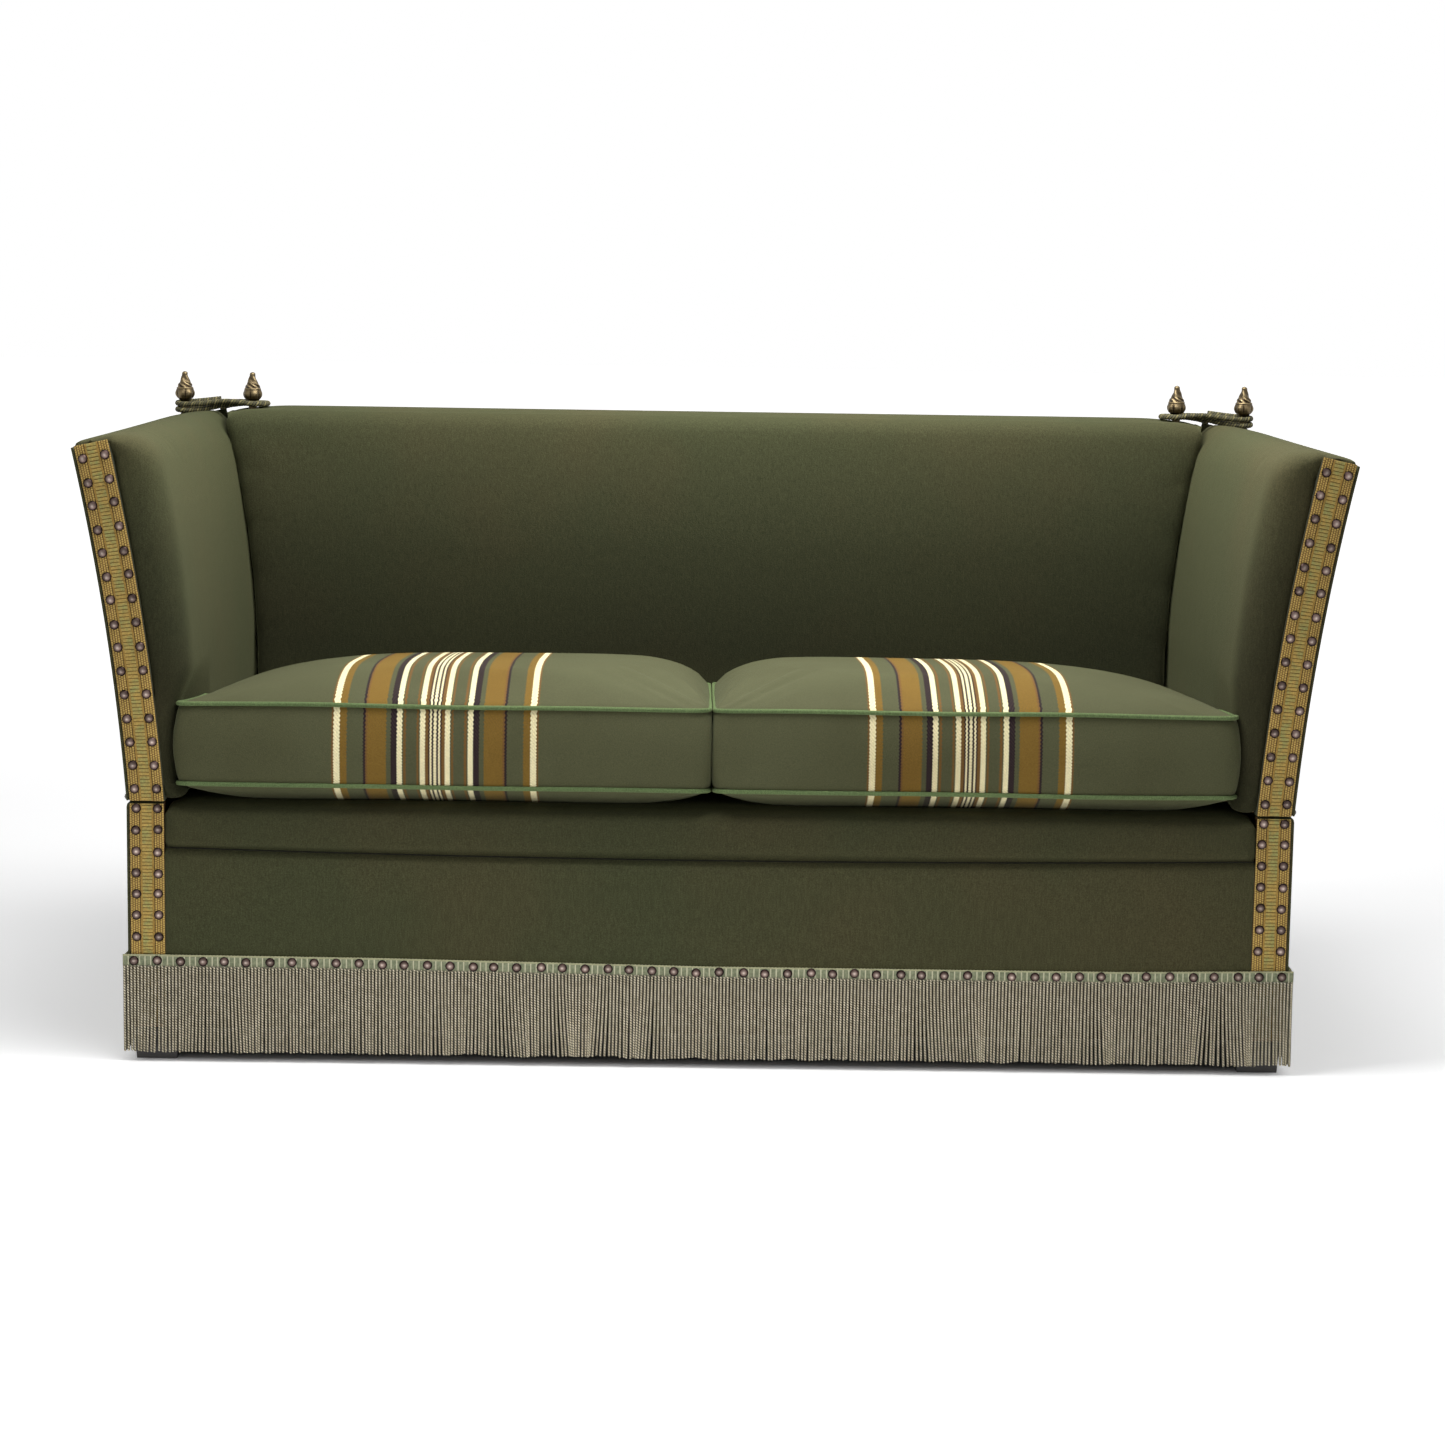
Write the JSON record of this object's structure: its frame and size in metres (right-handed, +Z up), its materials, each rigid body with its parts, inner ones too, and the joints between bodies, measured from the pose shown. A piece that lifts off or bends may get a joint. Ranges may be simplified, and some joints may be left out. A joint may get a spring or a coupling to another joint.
{
  "type": "drop arm sofa",
  "caption": "High-backed upholstered sofa with hinged drop arms tied to the back by rope round finials, loose box cushions, nailed braid and bullion fringe.",
  "frame": {"origin": "on the floor, under the middle of the sofa's plan", "axes": "+Z up, +X to the right of someone who looks at the front, -Y towards the front"},
  "size_m": [1.7012, 0.783, 0.9],
  "materials": {
    "front_rail": "planed beech, unfinished",
    "back_rail": "planed beech, unfinished",
    "left_side_frame": "planed beech, unfinished",
    "right_side_frame": "planed beech, unfinished",
    "centre_beam": "planed beech, unfinished",
    "front_left_foot": "black stained, worn",
    "front_right_foot": "black stained, worn",
    "rear_left_foot": "black stained, worn",
    "rear_right_foot": "black stained, worn",
    "dust_cover": "black cotton lining",
    "seat_webbing": "plain woven jute",
    "seat_platform": "dark olive felted wool over wadding",
    "front_border": "dark olive felted wool over wadding",
    "left_side_cover": "dark olive felted wool over wadding",
    "right_side_cover": "dark olive felted wool over wadding",
    "outside_back_cover": "dark olive felted wool over wadding",
    "left_base_braid": "ochre woven braid with dark domed nails",
    "right_base_braid": "ochre woven braid with dark domed nails",
    "front_fringe": "twisted bullion strands under a woven heading",
    "rear_fringe": "twisted bullion strands under a woven heading",
    "left_fringe": "twisted bullion strands under a woven heading",
    "right_fringe": "twisted bullion strands under a woven heading",
    "left_back_post": "planed beech, unfinished",
    "right_back_post": "planed beech, unfinished",
    "back_top_rail": "planed beech, unfinished",
    "back_stay_rail": "planed beech, unfinished",
    "back_centre_stay": "planed beech, unfinished",
    "back_webbing": "plain woven jute",
    "inside_back_pad": "dark olive felted wool over wadding",
    "left_back_finial": "antiqued cast",
    "right_back_finial": "antiqued cast",
    "left_hinge_base_leaf": "bright drawn",
    "right_hinge_base_leaf": "bright drawn",
    "left_hinge_pin": "bright drawn",
    "right_hinge_pin": "bright drawn",
    "left_rope": "twisted three strand cord",
    "right_rope": "twisted three strand cord",
    "left_arm_front_post": "planed beech, unfinished",
    "left_arm_rear_post": "planed beech, unfinished",
    "left_arm_top_rail": "planed beech, unfinished",
    "left_arm_bottom_rail": "planed beech, unfinished",
    "left_arm_webbing": "plain woven jute",
    "left_arm_pad": "dark olive felted wool over wadding",
    "left_arm_outside_cover": "dark olive felted wool over wadding",
    "left_arm_braid": "ochre woven braid with dark domed nails",
    "left_arm_finial": "antiqued cast",
    "left_hinge_arm_leaf": "bright drawn",
    "left_cushion": "green striped woven wool, piped",
    "right_arm_front_post": "planed beech, unfinished",
    "right_arm_rear_post": "planed beech, unfinished",
    "right_arm_top_rail": "planed beech, unfinished",
    "right_arm_bottom_rail": "planed beech, unfinished",
    "right_arm_webbing": "plain woven jute",
    "right_arm_pad": "dark olive felted wool over wadding",
    "right_arm_outside_cover": "dark olive felted wool over wadding",
    "right_arm_braid": "ochre woven braid with dark domed nails",
    "right_arm_finial": "antiqued cast",
    "right_hinge_arm_leaf": "bright drawn",
    "right_cushion": "green striped woven wool, piped"
  },
  "bodies": {
    "frame": {"front_rail": "front_rail", "back_rail": "back_rail", "left_side_frame": "left_side_frame", "right_side_frame": "right_side_frame", "centre_beam": "centre_beam", "front_left_foot": "front_left_foot", "front_right_foot": "front_right_foot", "rear_left_foot": "rear_left_foot", "rear_right_foot": "rear_right_foot", "dust_cover": "dust_cover", "seat_webbing": "seat_webbing", "seat_platform": "seat_platform", "front_border": "front_border", "left_side_cover": "left_side_cover", "right_side_cover": "right_side_cover", "outside_back_cover": "outside_back_cover", "left_base_braid": "left_base_braid", "right_base_braid": "right_base_braid", "front_fringe": "front_fringe", "rear_fringe": "rear_fringe", "left_fringe": "left_fringe", "right_fringe": "right_fringe", "left_back_post": "left_back_post", "right_back_post": "right_back_post", "back_top_rail": "back_top_rail", "back_stay_rail": "back_stay_rail", "back_centre_stay": "back_centre_stay", "back_webbing": "back_webbing", "inside_back_pad": "inside_back_pad", "left_back_finial": "left_back_finial", "right_back_finial": "right_back_finial", "left_hinge_base_leaf": "left_hinge_base_leaf", "right_hinge_base_leaf": "right_hinge_base_leaf", "left_hinge_pin": "left_hinge_pin", "right_hinge_pin": "right_hinge_pin", "left_rope": "left_rope", "right_rope": "right_rope"},
    "left_arm": {"left_arm_front_post": "left_arm_front_post", "left_arm_rear_post": "left_arm_rear_post", "left_arm_top_rail": "left_arm_top_rail", "left_arm_bottom_rail": "left_arm_bottom_rail", "left_arm_webbing": "left_arm_webbing", "left_arm_pad": "left_arm_pad", "left_arm_outside_cover": "left_arm_outside_cover", "left_arm_braid": "left_arm_braid", "left_arm_finial": "left_arm_finial", "left_hinge_arm_leaf": "left_hinge_arm_leaf"},
    "left_cushion": {"left_cushion": "left_cushion"},
    "right_arm": {"right_arm_front_post": "right_arm_front_post", "right_arm_rear_post": "right_arm_rear_post", "right_arm_top_rail": "right_arm_top_rail", "right_arm_bottom_rail": "right_arm_bottom_rail", "right_arm_webbing": "right_arm_webbing", "right_arm_pad": "right_arm_pad", "right_arm_outside_cover": "right_arm_outside_cover", "right_arm_braid": "right_arm_braid", "right_arm_finial": "right_arm_finial", "right_hinge_arm_leaf": "right_hinge_arm_leaf"},
    "right_cushion": {"right_cushion": "right_cushion"}
  },
  "joints": [
    {"name": "left_arm_drop", "type": "hinge", "parent": "frame", "child": "left_arm", "pos_m": [-0.7865, 0, 0.35215], "axis": [0, -1, 0], "range_deg": [0, 80], "deforming": ["left_rope"]},
    {"name": "right_arm_drop", "type": "hinge", "parent": "frame", "child": "right_arm", "pos_m": [0.7865, 0, 0.35215], "axis": [0, 1, 0], "range_deg": [0, 80], "deforming": ["right_rope"]},
    {"name": "left_cushion_lift", "type": "slide", "parent": "frame", "child": "left_cushion", "axis": [0, 0, 1], "range_m": [0, 0.3]},
    {"name": "right_cushion_lift", "type": "slide", "parent": "frame", "child": "right_cushion", "axis": [0, 0, 1], "range_m": [0, 0.3]}
  ]
}
